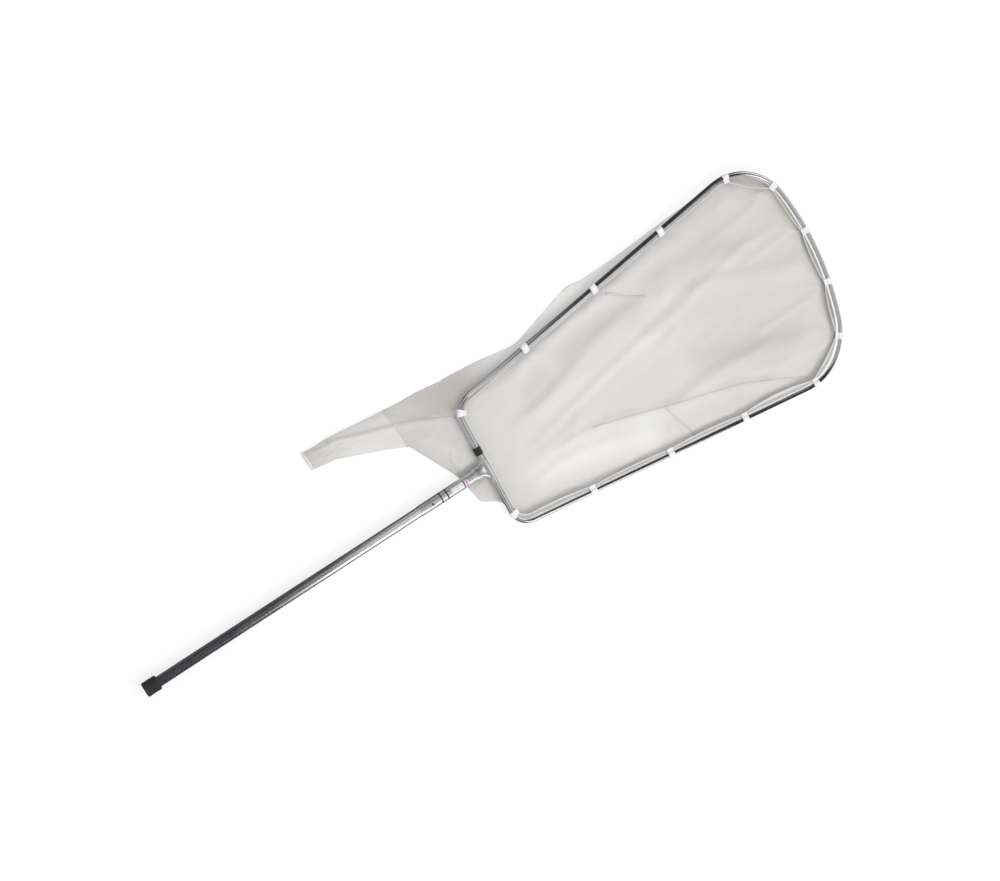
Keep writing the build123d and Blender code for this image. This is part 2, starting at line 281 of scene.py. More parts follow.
# %% Folds: long ridges along drawn lines, and soft uneven waves
def distance_to(plan, line):
    """Signed distance from each plan point to a line, and how far along the line it is."""
    best = np.full(plan.shape[:2], 9.0)
    side = np.ones(plan.shape[:2])
    along = np.zeros(plan.shape[:2])
    count = len(line) - 1
    for i in range(count):
        start, run = line[i], line[i + 1] - line[i]
        rel = plan - start
        share = np.clip((rel @ run) / (run @ run), 0, 1)
        away = np.linalg.norm(rel - share[..., None] * run, axis=2)
        nearer = away < best
        turn = rel[..., 1] * run[0] - rel[..., 0] * run[1]
        best = np.where(nearer, away, best)
        side = np.where(nearer, np.sign(turn), side)
        along = np.where(nearer, (i + share) / count, along)
    return best * side, along


def ridges(plan, table):
    """The height of a table of ridges: (line in mm, half width, height, steepness)."""
    height = np.zeros(plan.shape[:2])
    for line, width, tall, steep in table:
        away, along = distance_to(plan, curved(np.array(line) * MM, 40))
        width = width * MM * (0.75 + 0.5 * along)
        lean = np.where(away > 0, away * steep, away) / width
        ends = smooth_step(along / 0.2) * smooth_step((1 - along) / 0.2)
        height += tall * MM * np.exp(-(lean**2)) * ends
    return height


def rumple(plan, size, seed, stretch=2.6):
    """Soft uneven waves over a grid of plan points, from -1 to 1, longer along the bag."""
    out = np.zeros(plan.shape[:2])
    for i, j in np.ndindex(*out.shape):
        x, y = plan[i, j]
        along = (x * 0.97 + y * 0.24) / (size * stretch)
        across = (y * 0.97 - x * 0.24) / size
        out[i, j] = noise.noise(Vector((along, across, seed)))
    return out


def creases(plan, size, seed, stretch=2.6):
    """Sharp-topped creases, from 0 to 1: the folded edges of an uneven wave."""
    return np.clip(1 - 3.2 * np.abs(rumple(plan, size, seed, stretch)), 0, 1) ** 1.5


floor_folds = [
    ([(110, -40), (206, -12), (377, 27), (526, 53), (719, 84), (878, 115), (1030, 136),
      (1160, 122)], 22, 8, 1.5),
    ([(80, -72), (294, -34), (453, 5), (620, 22), (790, 30)], 26, 5, 1.3),
    ([(120, -62), (354, -78), (543, -136), (784, -209), (910, -262), (1023, -318)], 17, 7, 1.7),
    ([(470, -110), (600, -150), (735, -140), (862, -150), (1016, -190), (1170, -238)], 34, 12, 1.4),
    ([(70, 40), (180, 55), (300, 82), (404, 112), (541, 152), (680, 150), (800, 160)], 30, 11, 1.5),
    ([(700, 110), (770, 108), (866, 96), (985, 52), (1090, 15), (1195, 5)], 30, 9, 1.5),
    ([(60, 150), (257, 190), (409, 214), (560, 232), (760, 255), (960, 290)], 20, 6, 1.2),
    ([(60, -120), (230, -112), (420, -160), (560, -215)], 24, 6, 1.3),
    ([(1192, -95), (1126, -108), (991, -112), (900, -100)], 13, 5, 1.3),
    ([(1165, -265), (1074, -249), (930, -222), (820, -190)], 15, 5, 1.3),
    ([(1200, 92), (1120, 95), (1000, 88), (930, 84)], 12, 4, 1.3),
    ([(1150, 248), (1070, 215), (960, 205), (860, 190)], 15, 5, 1.3),
    ([(985, 146), (1012, 140), (1050, 125)], 8, 4, 1.4),
]

# soft patches of painted shade along drawn lines; negative ones are painted light, a little paler
painted_shade_patches = [
    ([(303, 115), (410, 156), (525, 158), (657, 152)], 30, 0.40, 1),
    ([(642, -50), (786, -98), (958, -162), (1094, -204)], 45, 0.35, 1),
    ([(612, 212), (753, 202), (893, 186), (1021, 142)], 30, 0.30, 1),
    ([(177, 105), (229, 116), (303, 132)], 28, 0.25, 1),
    ([(195, 7), (340, 33), (524, 55), (672, 39)], 30, -0.35, 1),
    ([(640, 112), (760, 126), (880, 120), (1000, 100)], 22, -0.25, 1),
    ([(40, -75), (319, -139), (560, -205)], 55, -0.75, 1),
]

# %% Fine creases that fan out from each clip
def clip_creases(plan):
    """Small waves that spread from the clips into the cloth and die away."""
    height = np.zeros(plan.shape[:2])
    for number, place in enumerate(clip_places):
        point = loop_point(place) + loop_inward(place) * rim_inset
        inward = loop_inward(place)
        rel = plan - point
        far = np.linalg.norm(rel, axis=2)
        angle = np.arctan2(rel @ np.array([-inward[1], inward[0]]), rel @ inward)
        waves = np.cos(angle * (7 + number % 3) + number)
        height += 2.4 * MM * waves * np.exp(-far / (75 * MM)) * smooth_step(far / (30 * MM))
    return height


def grid_shares(along, across):
    """How far along and across each point of a grid is, from 0 to 1."""
    steps = np.linspace(0, 1, along + 1), np.linspace(0, 1, across + 1)
    return np.meshgrid(*steps, indexing="ij")


t_mouth, s_mouth = grid_shares(rows, columns)
edge_fade = smooth_step(np.minimum(s_mouth, 1 - s_mouth) / 0.06) * smooth_step((1 - t_mouth) / 0.04)
near_fade = smooth_step((mouth_floor[..., 0] - 20 * MM) / (80 * MM))
lie = ridges(mouth_floor, floor_folds) + clip_creases(mouth_floor)
lie += 3.0 * MM * rumple(mouth_floor, 0.10, 3.1) + 1.2 * MM * rumple(mouth_floor, 0.035, 7.7)
lie += 2.6 * MM * creases(mouth_floor, 0.11, 5.2, 3.4) + 1.3 * MM * creases(mouth_floor, 0.05, 9.4)
floor_z = 1.0 * MM
flat_lift = 3.0 * MM
rail_line = upper_rail(400)
rail_y = np.interp(mouth_floor[..., 0], rail_line[:, 0], rail_line[:, 1])
# past the upper rail the lower cloth lies flat, so that the upper cloth can cover it
edge_fade = edge_fade * smooth_step((rail_y - mouth_floor[..., 1]) / (30 * MM))
mouth_z = floor_z + np.clip(lie + flat_lift, 0, None) * edge_fade * (0.2 + 0.8 * near_fade)
sewn_edge = 1 - smooth_step(np.minimum(np.minimum(s_mouth, 1 - s_mouth) / 0.03, (1 - t_mouth) / 0.03))
mouth_z += (crease_z - floor_z) * sewn_edge
# painted shade and painted light in patches, and painted shade towards the far end
mouth_painted_shade = ridges(mouth_floor, painted_shade_patches) / MM
mouth_painted_shade += 0.22 * smooth_step((mouth_floor[..., 0] - 0.55) / 0.4)
throat_z = np.full(throat_floor.shape[:2], floor_z)
throat_z[0] = mouth_z[0]
throat_z[:, 0] = throat_z[:, -1] = crease_z
print(f"lower cloth rises to {mouth_z.max() * 1000:.1f} mm")


# %% Walls from the ground up to the rim
def wall(edge, places, bulge):
    """Rows of points from the cloth's outer edge under the tube and up to the rim."""
    rim = np.array([rim_point(place) for place in places])
    gap = np.linalg.norm(edge - rim, axis=1)
    outside = np.clip(gap - 35 * MM, 0, 60 * MM) / (60 * MM)
    grid = np.zeros((wall_rows + 1, len(places), 3))
    for row, w in enumerate(np.linspace(0, 1, wall_rows + 1)):
        rise = (rim_z - crease_z) * w ** (1.8 + 2.0 * outside)
        roll = bulge * outside * math.sin(math.pi * w)
        grid[row, :, :2] = edge + (rim - edge) * w
        grid[row, :, 2] = crease_z + rise + roll
    return grid


rail_shares = rail_run * np.linspace(0, 1, rows + 1)
upper_wall = wall(upper_edge, half_crossbar + rail_shares, 5 * MM)
lower_wall = wall(lower_edge, loop_total - half_crossbar - rail_shares, 0)
bow_shares = bow_run * np.linspace(1, 0, columns + 1)
bow_wall = wall(far_edge, half_crossbar + rail_run + bow_shares, 0)

# %% The throat's upper cloth, from the crossbar's rim back to the tail seam
crossbar_rim = np.array(
    [rim_point(place) for place in np.linspace(-half_crossbar, half_crossbar, columns + 1)]
)
first_row = np.vstack([lower_wall[:-1, 0, :2], crossbar_rim, upper_wall[:-1, 0, :2][::-1]])
last_row = spaced([throat_lower[-1], throat_upper[-1]], top_columns + 1)
throat_top = filled(throat_lower, throat_upper, first_row, last_row)

throat_folds = [
    ([(-4, 162), (-60, 188), (-110, 212), (-169, 237), (-230, 262)], 13, 5, 1.6),
    ([(-56, 104), (-66, 87), (-74, 62), (-62, 33), (-50, 20)], 6, 7, 1.8),
    ([(-40, 132), (-48, 108), (-52, 84), (-58, 62), (-48, 42)], 6, 6, 1.8),
    ([(-30, 240), (-90, 252), (-150, 262), (-220, 276)], 14, 3, 1.3),
    ([(-60, 120), (-100, 150), (-150, 190), (-200, 212)], 14, 4, 1.3),
    ([(-20, 90), (-50, 100), (-110, 128), (-160, 176)], 16, 4, 1.3),
    ([(-16, -86), (-32, -66), (-44, -40)], 7, 3, 1.4),
]
p, q = grid_shares(throat_rows, top_columns)
x, y = throat_top[..., 0], throat_top[..., 1]
back = -x / MM


def arch(share):
    """The cloth's cross section: steep at the edges, and highest towards the long seam."""
    return np.clip(np.sin(math.pi * share**1.35), 0, None) ** 0.6


ridge_z = np.interp(back, [-11.5, -8, 8, 15, 40, 80, 125, 172], [18.4, 8.2, 8.0, 8.4, 17, 24, 26, 23])
beside_hoop = np.interp(back, [-11.5, 8, 40, 80, 125, 172], [9, 9.5, 12, 18, 24, 23])
past_corner = smooth_step((y / MM - 192) / 26)
ridge_z += past_corner * (beside_hoop - ridge_z)
arched = crease_z + (ridge_z * MM - crease_z) * arch(q)
arched += ridges(throat_top, throat_folds) * smooth_step((back - 12) / 30) * arch(q)
loose = arch(q) * smooth_step((back - 20) / 50)
arched += 2.0 * MM * rumple(throat_top, 0.05, 1.3) * loose
arched += 2.4 * MM * creases(throat_top, 0.05, 4.6) * loose
# the cloth stays low where the socket crosses close above the ground
under_socket = smooth_step((back - 11) / 10) * (1 - smooth_step((np.abs(y) / MM - 15) / 30))
top_z = arched + under_socket * (3.2 * MM - arched)
beside_pole = smooth_step((back - 11) / 10) * (1 - smooth_step((y / MM + 16) / 20))
top_z += beside_pole * (np.minimum(top_z, 8 * MM) - top_z)
first_z = np.concatenate(
    [lower_wall[:-1, 0, 2], np.full(columns + 1, rim_z), upper_wall[:-1, 0, 2][::-1]]
)
leaves_rim = smooth_step(p * throat_rows / 2)
top_z = first_z[None] * (1 - leaves_rim) + top_z * leaves_rim
top_z[:, 0] = top_z[:, -1] = crease_z
print(f"upper cloth rises to {top_z.max() * 1000:.1f} mm")

# %% [markdown]
# ## From grids to cloth
# The grids share their edges, so merging near points sews them into one skin. Each point also
# carries two numbers for the finish: its tone, partly painted shade and painted light, and how
# dense it looks, because two layers of fine mesh hide more than one. One level of subdivision
# rounds the folds.


# %% Sew the grids together
def add_grid(bm, grid, tone, dense=1.0, flip=False):
    """Vertices and faces of a grid of points, placed in the row frame.

    tone runs from -1, pale with painted light, to 1, dark and warm with two layers and painted shade;
    dense is 1 where little shows through.
    """
    tones = bm.verts.layers.float.get("tone") or bm.verts.layers.float.new("tone")
    densities = bm.verts.layers.float.get("dense") or bm.verts.layers.float.new("dense")
    tone = np.broadcast_to(tone, grid.shape[:2])
    made = []
    for i, row in enumerate(grid):
        made.append([])
        for j, (x, y, z) in enumerate(row):
            vert = bm.verts.new((crossbar_x + x, y, z))
            vert[tones] = tone[i, j]
            vert[densities] = dense
            made[-1].append(vert)
    for i in range(len(made) - 1):
        for j in range(len(made[0]) - 1):
            corners = [made[i][j], made[i][j + 1], made[i + 1][j + 1], made[i + 1][j]]
            bm.faces.new(corners[::-1] if flip else corners)


def sew(bm, gap):
    """Merge the points that lie within the gap, and turn the faces so that the top faces up."""
    bmesh.ops.remove_doubles(bm, verts=bm.verts, dist=gap)
    bmesh.ops.recalc_face_normals(bm, faces=bm.faces)
    level = [face for face in bm.faces if face.normal.z**2 > 0.5]
    highest = max(level, key=lambda face: face.calc_center_median().z)
    if highest.normal.z < 0:
        bmesh.ops.reverse_faces(bm, faces=bm.faces)


def with_height(plan, height):
    return np.concatenate([plan, height[..., None]], axis=2)


def new_piece(name, bm, smooth=True):
    mesh = bpy.data.meshes.new(name)
    bm.to_mesh(mesh)
    bm.free()
    mesh.polygons.foreach_set("use_smooth", [smooth] * len(mesh.polygons))
    piece = bpy.data.objects.new(name, mesh)
    bpy.context.scene.collection.objects.link(piece)
    return piece


def add_modifier(piece, kind, **settings):
    modifier = piece.modifiers.new(kind.lower(), kind)
    for key, value in settings.items():
        setattr(modifier, key, value)
    return modifier


bm = bmesh.new()
long_seam_y = np.interp(back, [0, 97, 167], [166, 205, 236]) * MM
above_seam = smooth_step((y - long_seam_y) / (10 * MM))
# painted shade on the upper cloth above the long seam, where it slopes away from the light
throat_painted_shade = 0.1 + above_seam * (0.85 - 0.65 * smooth_step(back / 150))
throat_painted_shade *= np.maximum(smooth_step((back + 2) / 14), above_seam)
# the upper wall: painted light along its middle, painted shade near the crossbar and the far end
wall_x = upper_wall[..., 0]
upper_wall_painted_light_and_shade = 0.95 - 1.8 * smooth_step((wall_x - 0.03) / 0.2) + 1.3 * smooth_step((wall_x - 0.92) / 0.1)
add_grid(bm, with_height(mouth_floor, mouth_z), mouth_painted_shade, dense=0.0, flip=True)
add_grid(bm, with_height(throat_floor, throat_z), 0.3)
add_grid(bm, upper_wall, upper_wall_painted_light_and_shade)
# the lower wall is painted paler: painted light where the rim tape and the tube shade it
add_grid(bm, lower_wall, -0.6, flip=True)
# painted shade on the bow's steep wall, which the light falls on brightly
add_grid(bm, bow_wall, 0.9, flip=True)
add_grid(bm, with_height(throat_top, top_z), throat_painted_shade)
sew(bm, 0.4 * MM)
bag_cloth = new_piece("bag_cloth", bm)
add_modifier(bag_cloth, "SUBSURF", levels=1, render_levels=1)
print("bag cloth", len(bag_cloth.data.vertices), "points")

# %% The tail, a sewn tube that narrows to its open end
tail_rows = 40
tail_low = np.array([(-156, 161), (-200, 181), (-262, 206), (-322, 229), (-345, 238), (-372, 241),
                     (-411, 248)]) * MM
tail_high = np.array([(-172, 285), (-230, 290), (-290, 296), (-343, 300), (-372, 299),
                      (-413, 301)]) * MM
tail_lower = curved(tail_low, tail_rows + 1)
tail_upper = curved(tail_high, tail_rows + 1)


def tail_plan(count):
    t = np.linspace(0, 1, count)[None, :, None]
    return tail_lower[:, None] * (1 - t) + tail_upper[:, None] * t


tail_folds = [
    ([(-160, 234), (-210, 250), (-270, 270), (-344, 294), (-380, 297)], 8, 5, 1.6),
    ([(-190, 200), (-240, 216), (-300, 238), (-360, 255)], 10, 4, 1.3),
    ([(-184, 233), (-245, 253), (-303, 281), (-350, 285), (-410, 288)], 6, 5, 1.6),
    ([(-290, 236), (-340, 256), (-408, 268)], 6, 3, 1.4),
    ([(-320, 284), (-360, 288), (-408, 292)], 5, 3, 1.4),
]
top_plan = tail_plan(top_columns + 1)
floor_plan = tail_plan(columns + 1)
u = np.linspace(0, 1, tail_rows + 1)[:, None]
r = np.linspace(0, 1, top_columns + 1)[None, :]
tail_height = np.interp(u, [0, 0.35, 0.7, 1], [23, 20, 16, 14]) * MM
tail_z = crease_z + (tail_height - crease_z) * arch(r * np.ones_like(u))
gathers = 1.6 * MM * rumple(top_plan, 0.02, 5.0, 4) + 2.6 * MM * creases(top_plan, 0.03, 2.2, 4)
tail_z += (ridges(top_plan, tail_folds) + gathers * (0.5 + 0.7 * u)) * arch(r)
joins = 1 - smooth_step(u / 0.25)
tail_z += (top_z[-1] - tail_z[0])[None] * joins
near_tip = smooth_step((u - 0.85) / 0.15)
under_z = np.full(floor_plan.shape[:2], floor_z) + 1.8 * MM * near_tip
tail_z = np.maximum(tail_z, 2.8 * MM * near_tip)
tail_z[:, 0] = tail_z[:, -1] = crease_z
under_z[:, 0] = under_z[:, -1] = crease_z

bm = bmesh.new()
tail_tone = 0.15 + 0.75 * smooth_step((u - 0.5) / 0.45) * np.ones_like(tail_z)
add_grid(bm, with_height(top_plan, tail_z), tail_tone)
add_grid(bm, with_height(floor_plan, under_z), 0.4, flip=True)
sew(bm, 0.1 * MM)
tail_cloth = new_piece("tail_cloth", bm)
add_modifier(tail_cloth, "SUBSURF", levels=1, render_levels=1)
print("tail cloth", len(tail_cloth.data.vertices), "points")


# %% [markdown]
# ## Hems
# The rim tape and the rolled hem of the tail are both a small flat section carried round a closed
# loop. A curve with a bevel would do it, but a mesh lets the tape tilt and ripple as it goes.


# %% Carry a flat section round a loop
def hem_ring(name, path, width, thickness, tilt, sides=10):
    """A closed ring of tape along a closed path; tilt gives the section's angle at each point."""
    bm = bmesh.new()
    rings = []
    count = len(path)
    for i in range(count):
        run = Vector(path[(i + 1) % count] - path[i - 1]).normalized()
        side = run.cross(Vector((0, 0, 1))).normalized()
        up = side.cross(run)
        turned = side * math.cos(tilt[i]) + up * math.sin(tilt[i])
        flat = run.cross(turned)
        ring = []
        for k in range(sides):
            angle = 2 * math.pi * k / sides
            reach = math.copysign(abs(math.cos(angle)) ** 0.6, math.cos(angle)) * width / 2
            lift = math.copysign(abs(math.sin(angle)) ** 0.6, math.sin(angle)) * thickness / 2
            ring.append(bm.verts.new(Vector(path[i]) + turned * reach + flat * lift))
        rings.append(ring)
    for a, b in zip(rings, rings[1:] + rings[:1]):
        for k in range(sides):
            n = (k + 1) % sides
            bm.faces.new([a[k], a[n], b[n], b[k]])
    bmesh.ops.recalc_face_normals(bm, faces=bm.faces)
    return new_piece(name, bm)


def in_row_frame(plan, height):
    """Plan points ahead of the crossbar, with heights, as points of the row frame."""
    height = np.broadcast_to(height, (len(plan),))
    return np.stack([plan[:, 0] + crossbar_x, plan[:, 1], height], 1)


rim_count = 720
hem_width = 6 * MM
rim_thickness = 1.6 * MM
tail_hem_thickness = 2.6 * MM
rim_steps = np.linspace(0, loop_total, rim_count, endpoint=False)
rim_plan = np.array([rim_point(place) for place in rim_steps])
ripple = np.array([noise.noise(Vector((place * 14, 0.3, 0))) for place in rim_steps])
rim_path = in_row_frame(rim_plan, axis_z - 2.2 * MM + 0.5 * MM * ripple)
rim_tape = hem_ring("rim_tape", rim_path, hem_width, rim_thickness, np.radians(35 + 16 * ripple))

tip_loop = np.vstack([
    with_height(top_plan, tail_z)[-1],
    with_height(floor_plan, under_z)[-1][::-1][1:-1],
])
tip_path = in_row_frame(tip_loop[:, :2], tip_loop[:, 2])
no_tilt = np.zeros(len(tip_path))
tail_tape = hem_ring("tail_tape", tip_path, hem_width, tail_hem_thickness, no_tilt)
print("rim tape", run_length(rim_path), "m, tail hem", round(run_length(tip_path), 3), "m")

# %% [markdown]
# ## Seams and stitches
# The panels of the bag are joined by flat felled seams: a narrow tape with a row of stitches along
# each edge. The tape is dropped on to the finished cloth from above, so it follows every fold. The
# stitches repeat along lines, which is work for Geometry Nodes: one small thread shape is placed
# at even steps along each line.


# %% Tapes that follow the cloth
def surface_of(*pieces):
    """A search tree over the evaluated faces of several pieces."""
    depsgraph = bpy.context.evaluated_depsgraph_get()
    verts, faces = [], []
    for piece in pieces:
        mesh = piece.evaluated_get(depsgraph).to_mesh()
        first = len(verts)
        verts += [v.co.copy() for v in mesh.vertices]
        faces += [[first + k for k in poly.vertices] for poly in mesh.polygons]
    return BVHTree.FromPolygons(verts, faces)


cloth_surface = surface_of(bag_cloth, tail_cloth)


def dropped(point, lift):
    """A plan point moved straight down on to the cloth, then raised a little."""
    above = Vector((point[0] + crossbar_x, point[1], 0.2))
    hit = cloth_surface.ray_cast(above, Vector((0, 0, -1)))[0]
    return Vector((above.x, above.y, (hit.z if hit else crease_z) + lift))


seam_lines = [
    ("long_seam", [(-6, 163), (-90, 204), (-169, 237), (-250, 264), (-344, 294)], 8),
    ("tail_seam", [(-157.5, 163), (-161, 190), (-165.5, 225), (-169, 255), (-171.5, 283)], 8),
    ("mouth_seam", [(330, -78), (354, -80), (543, -136), (784, -209), (910, -262), (1010, -312)], 6),
    ("lower_cross_seam", [(551, -141), (578, -205), (604, -264)], 7),
    ("upper_cross_seam", [(546, 232), (563, 222), (601, 192), (650, 166)], 7),
]


def seam_tape(bm, line, width, lift=0.7 * MM):
    """One tape, five points across, over a line in mm."""
    points = curved(np.array(line) * MM, max(12, int(run_length(np.array(line)) / 6)))
    made = []
    for i, point in enumerate(points):
        run = points[min(i + 1, len(points) - 1)] - points[max(i - 1, 0)]
        side = np.array([-run[1], run[0]]) / np.linalg.norm(run)
        made.append([])
        for k, offset in enumerate(np.linspace(-width / 2, width / 2, 5)):
            drop = dropped(point + side * offset * MM, lift if 0 < k < 4 else lift * 0.55)
            made[-1].append(bm.verts.new(drop))
    for a, b in zip(made, made[1:]):
        for k in range(4):
            bm.faces.new([a[k], b[k], b[k + 1], a[k + 1]]).normal_update()


def stitch_line(line, offset, lift):
    """Points beside a seam line, on the tape, close enough to follow the folds."""
    points = curved(np.array(line) * MM, max(12, int(run_length(np.array(line)) / 5)))
    run = np.gradient(points, axis=0)
    side = np.stack([-run[:, 1], run[:, 0]], 1) / np.linalg.norm(run, axis=1)[:, None]
    return [dropped(point, lift) for point in points + side * offset * MM]


bm = bmesh.new()
stitch_paths = []
for _, line, width in seam_lines:
    seam_tape(bm, line, width)
    for side in (-1, 1):
        stitch_paths.append(stitch_line(line, side * (width / 2 - 1.5), 1.0 * MM))
for face in bm.faces:
    if face.normal.z < 0:
        face.normal_flip()
seam_tapes = new_piece("seam_tapes", bm)
add_modifier(seam_tapes, "SOLIDIFY", thickness=0.6 * MM, offset=0)
print("seam tapes", [name for name, *_ in seam_lines])

# %% Stitch tree
def add_socket(tree, name, kind, default=None):
    socket = tree.interface.new_socket(name=name, in_out="INPUT", socket_type=kind)
    if default is not None:
        socket.default_value = default
    return socket


def stitch_tree():
    """Threads at even steps along every line of a mesh of edges."""
    tree = bpy.data.node_groups.new("stitches", "GeometryNodeTree")
    add_socket(tree, "Lines", "NodeSocketGeometry")
    add_socket(tree, "Step", "NodeSocketFloat", 6 * MM)
    add_socket(tree, "Stitch Length", "NodeSocketFloat", 4 * MM)
    add_socket(tree, "Thread Radius", "NodeSocketFloat", 0.4 * MM)
    add_socket(tree, "Seed", "NodeSocketInt", 1)
    add_socket(tree, "Thread Material", "NodeSocketMaterial")
    tree.interface.new_socket(name="Threads", in_out="OUTPUT", socket_type="NodeSocketGeometry")
    node, link = tree.nodes.new, tree.links.new
    given = node("NodeGroupInput")
    curve = node("GeometryNodeMeshToCurve")
    steps = node("GeometryNodeResampleCurve")
    steps.mode = "LENGTH"
    tangent = node("GeometryNodeInputTangent")
    facing = node("FunctionNodeAlignRotationToVector")
    facing.axis = "X"
    thread = node("GeometryNodeMeshUVSphere")
    thread.inputs["Segments"].default_value = 6
    thread.inputs["Rings"].default_value = 5
    thread.inputs["Radius"].default_value = 1.0
    size = node("ShaderNodeCombineXYZ")
    half = node("ShaderNodeMath")
    half.operation = "MULTIPLY"
    half.inputs[1].default_value = 0.5
    uneven = node("FunctionNodeRandomValue")
    uneven.data_type = "FLOAT"
    uneven.inputs[2].default_value = 0.85
    uneven.inputs[3].default_value = 1.1
    place = node("GeometryNodeInstanceOnPoints")
    shaped = node("GeometryNodeTransform")
    real = node("GeometryNodeRealizeInstances")
    paint = node("GeometryNodeSetMaterial")
    result = node("NodeGroupOutput")
    link(given.outputs["Lines"], curve.inputs[0])
    link(curve.outputs[0], steps.inputs["Curve"])
    link(given.outputs["Step"], steps.inputs["Length"])
    link(steps.outputs[0], place.inputs["Points"])
    link(tangent.outputs[0], facing.inputs["Vector"])
    link(facing.outputs[0], place.inputs["Rotation"])
    link(given.outputs["Stitch Length"], half.inputs[0])
    link(half.outputs[0], size.inputs["X"])
    link(given.outputs["Thread Radius"], size.inputs["Y"])
    link(given.outputs["Thread Radius"], size.inputs["Z"])
    link(thread.outputs["Mesh"], shaped.inputs["Geometry"])
    link(size.outputs[0], shaped.inputs["Scale"])
    link(shaped.outputs[0], place.inputs["Instance"])
    link(given.outputs["Seed"], uneven.inputs["Seed"])
    link(uneven.outputs[1], place.inputs["Scale"])
    link(place.outputs[0], real.inputs[0])
    link(real.outputs[0], paint.inputs["Geometry"])
    link(given.outputs["Thread Material"], paint.inputs["Material"])
    link(paint.outputs[0], result.inputs[0])
    return tree


def made_by(tree, name, source, **inputs):
    """The plain mesh that a tree makes from a source piece, which is then removed."""
    modifier = source.modifiers.new(tree.name, "NODES")
    modifier.node_group = tree
    for item in tree.interface.items_tree:
        key = item.name.replace(" ", "_").lower()
        if item.in_out == "INPUT" and key in inputs:
            modifier[item.identifier] = inputs[key]
    depsgraph = bpy.context.evaluated_depsgraph_get()
    mesh = bpy.data.meshes.new_from_object(source.evaluated_get(depsgraph))
    mesh.name = name
    mesh.polygons.foreach_set("use_smooth", [True] * len(mesh.polygons))
    bpy.data.objects.remove(source)
    piece = bpy.data.objects.new(name, mesh)
    bpy.context.scene.collection.objects.link(piece)
    return piece


# %% [markdown]
# ## Finishes
# Two effects turn up in more than one material, so each is a node group: a fine square weave, and
# soft blotches of wear.


# %% Effect groups
def new_group(name, inputs, outputs):
    group = bpy.data.node_groups.new(name, "ShaderNodeTree")
    for label, kind, value in inputs:
        socket = group.interface.new_socket(name=label, in_out="INPUT", socket_type=kind)
        if value is not None:
            socket.default_value = value
    for label, kind in outputs:
        group.interface.new_socket(name=label, in_out="OUTPUT", socket_type=kind)
    return group, group.nodes.new("NodeGroupInput"), group.nodes.new("NodeGroupOutput")


def math_node(tree, operation, a, b=None):
    node = tree.nodes.new("ShaderNodeMath")
    node.operation = operation
    for socket, value in zip(node.inputs, (a, b)):
        if isinstance(value, bpy.types.NodeSocket):
            tree.links.new(value, socket)
        elif value is not None:
            socket.default_value = value
    return node.outputs[0]


def weave_group():
    """Threads of a fine plain weave, crossing at right angles, from a flat pattern."""
    group, given, result = new_group(
        "fine_weave",
        [("Vector", "NodeSocketVector", None), ("Pitch", "NodeSocketFloat", 0.0015)],
        [("Height", "NodeSocketFloat"), ("Thread", "NodeSocketFloat")],
    )
    split = group.nodes.new("ShaderNodeSeparateXYZ")
    group.links.new(given.outputs["Vector"], split.inputs[0])
    bands = []
    for axis in ("X", "Y"):
        turns = math_node(group, "DIVIDE", split.outputs[axis], given.outputs["Pitch"])
        wave = math_node(group, "SINE", math_node(group, "MULTIPLY", turns, 2 * math.pi))
        bands.append(math_node(group, "MULTIPLY_ADD", wave, 0.5))
        bands[-1].node.inputs[2].default_value = 0.5
    higher = math_node(group, "MAXIMUM", bands[0], bands[1])
    group.links.new(higher, result.inputs["Height"])
    solid = group.nodes.new("ShaderNodeMapRange")
    solid.inputs["From Min"].default_value = 0.35
    solid.inputs["From Max"].default_value = 0.7
    group.links.new(higher, solid.inputs["Value"])
    group.links.new(solid.outputs[0], result.inputs["Thread"])
    return group


def blotch_group():
    """Soft cloudy patches, from 0 to 1, with a finer grain laid over them."""
    group, given, result = new_group(
        "soft_blotches",
        [("Vector", "NodeSocketVector", None), ("Scale", "NodeSocketFloat", 8.0)],
        [("Patches", "NodeSocketFloat"), ("Grain", "NodeSocketFloat")],
    )
    for label, factor, detail in (("Patches", 1, 3), ("Grain", 40, 2)):
        cloud = group.nodes.new("ShaderNodeTexNoise")
        cloud.inputs["Detail"].default_value = detail
        group.links.new(given.outputs["Vector"], cloud.inputs["Vector"])
        scale = math_node(group, "MULTIPLY", given.outputs["Scale"], float(factor))
        group.links.new(scale, cloud.inputs["Scale"])
        group.links.new(cloud.outputs["Fac"], result.inputs[label])
    return group


fine_weave = weave_group()
soft_blotches = blotch_group()
print("effect groups", [g.name for g in (fine_weave, soft_blotches)])


# %% Material helpers
def start_material(name, **values):
    """A material with its shader's plain values set, and its object coordinates."""
    material = bpy.data.materials.new(name)
    material.use_nodes = True
    tree = material.node_tree
    shader = tree.nodes["Principled BSDF"]
    for key, value in values.items():
        shader.inputs[key.replace("_", " ")].default_value = value
    place = tree.nodes.new("ShaderNodeTexCoord")
    return material, tree, shader, place.outputs["Object"]


def use_group(tree, group, vector, **values):
    node = tree.nodes.new("ShaderNodeGroup")
    node.node_tree = group
    tree.links.new(vector, node.inputs["Vector"])
    for key, value in values.items():
        node.inputs[key].default_value = value
    return node


def ranged(tree, value, low, high):
    """A 0 to 1 value mapped to run from low to high."""
    node = tree.nodes.new("ShaderNodeMapRange")
    tree.links.new(value, node.inputs["Value"])
    node.inputs["To Min"].default_value = low
    node.inputs["To Max"].default_value = high
    return node.outputs[0]


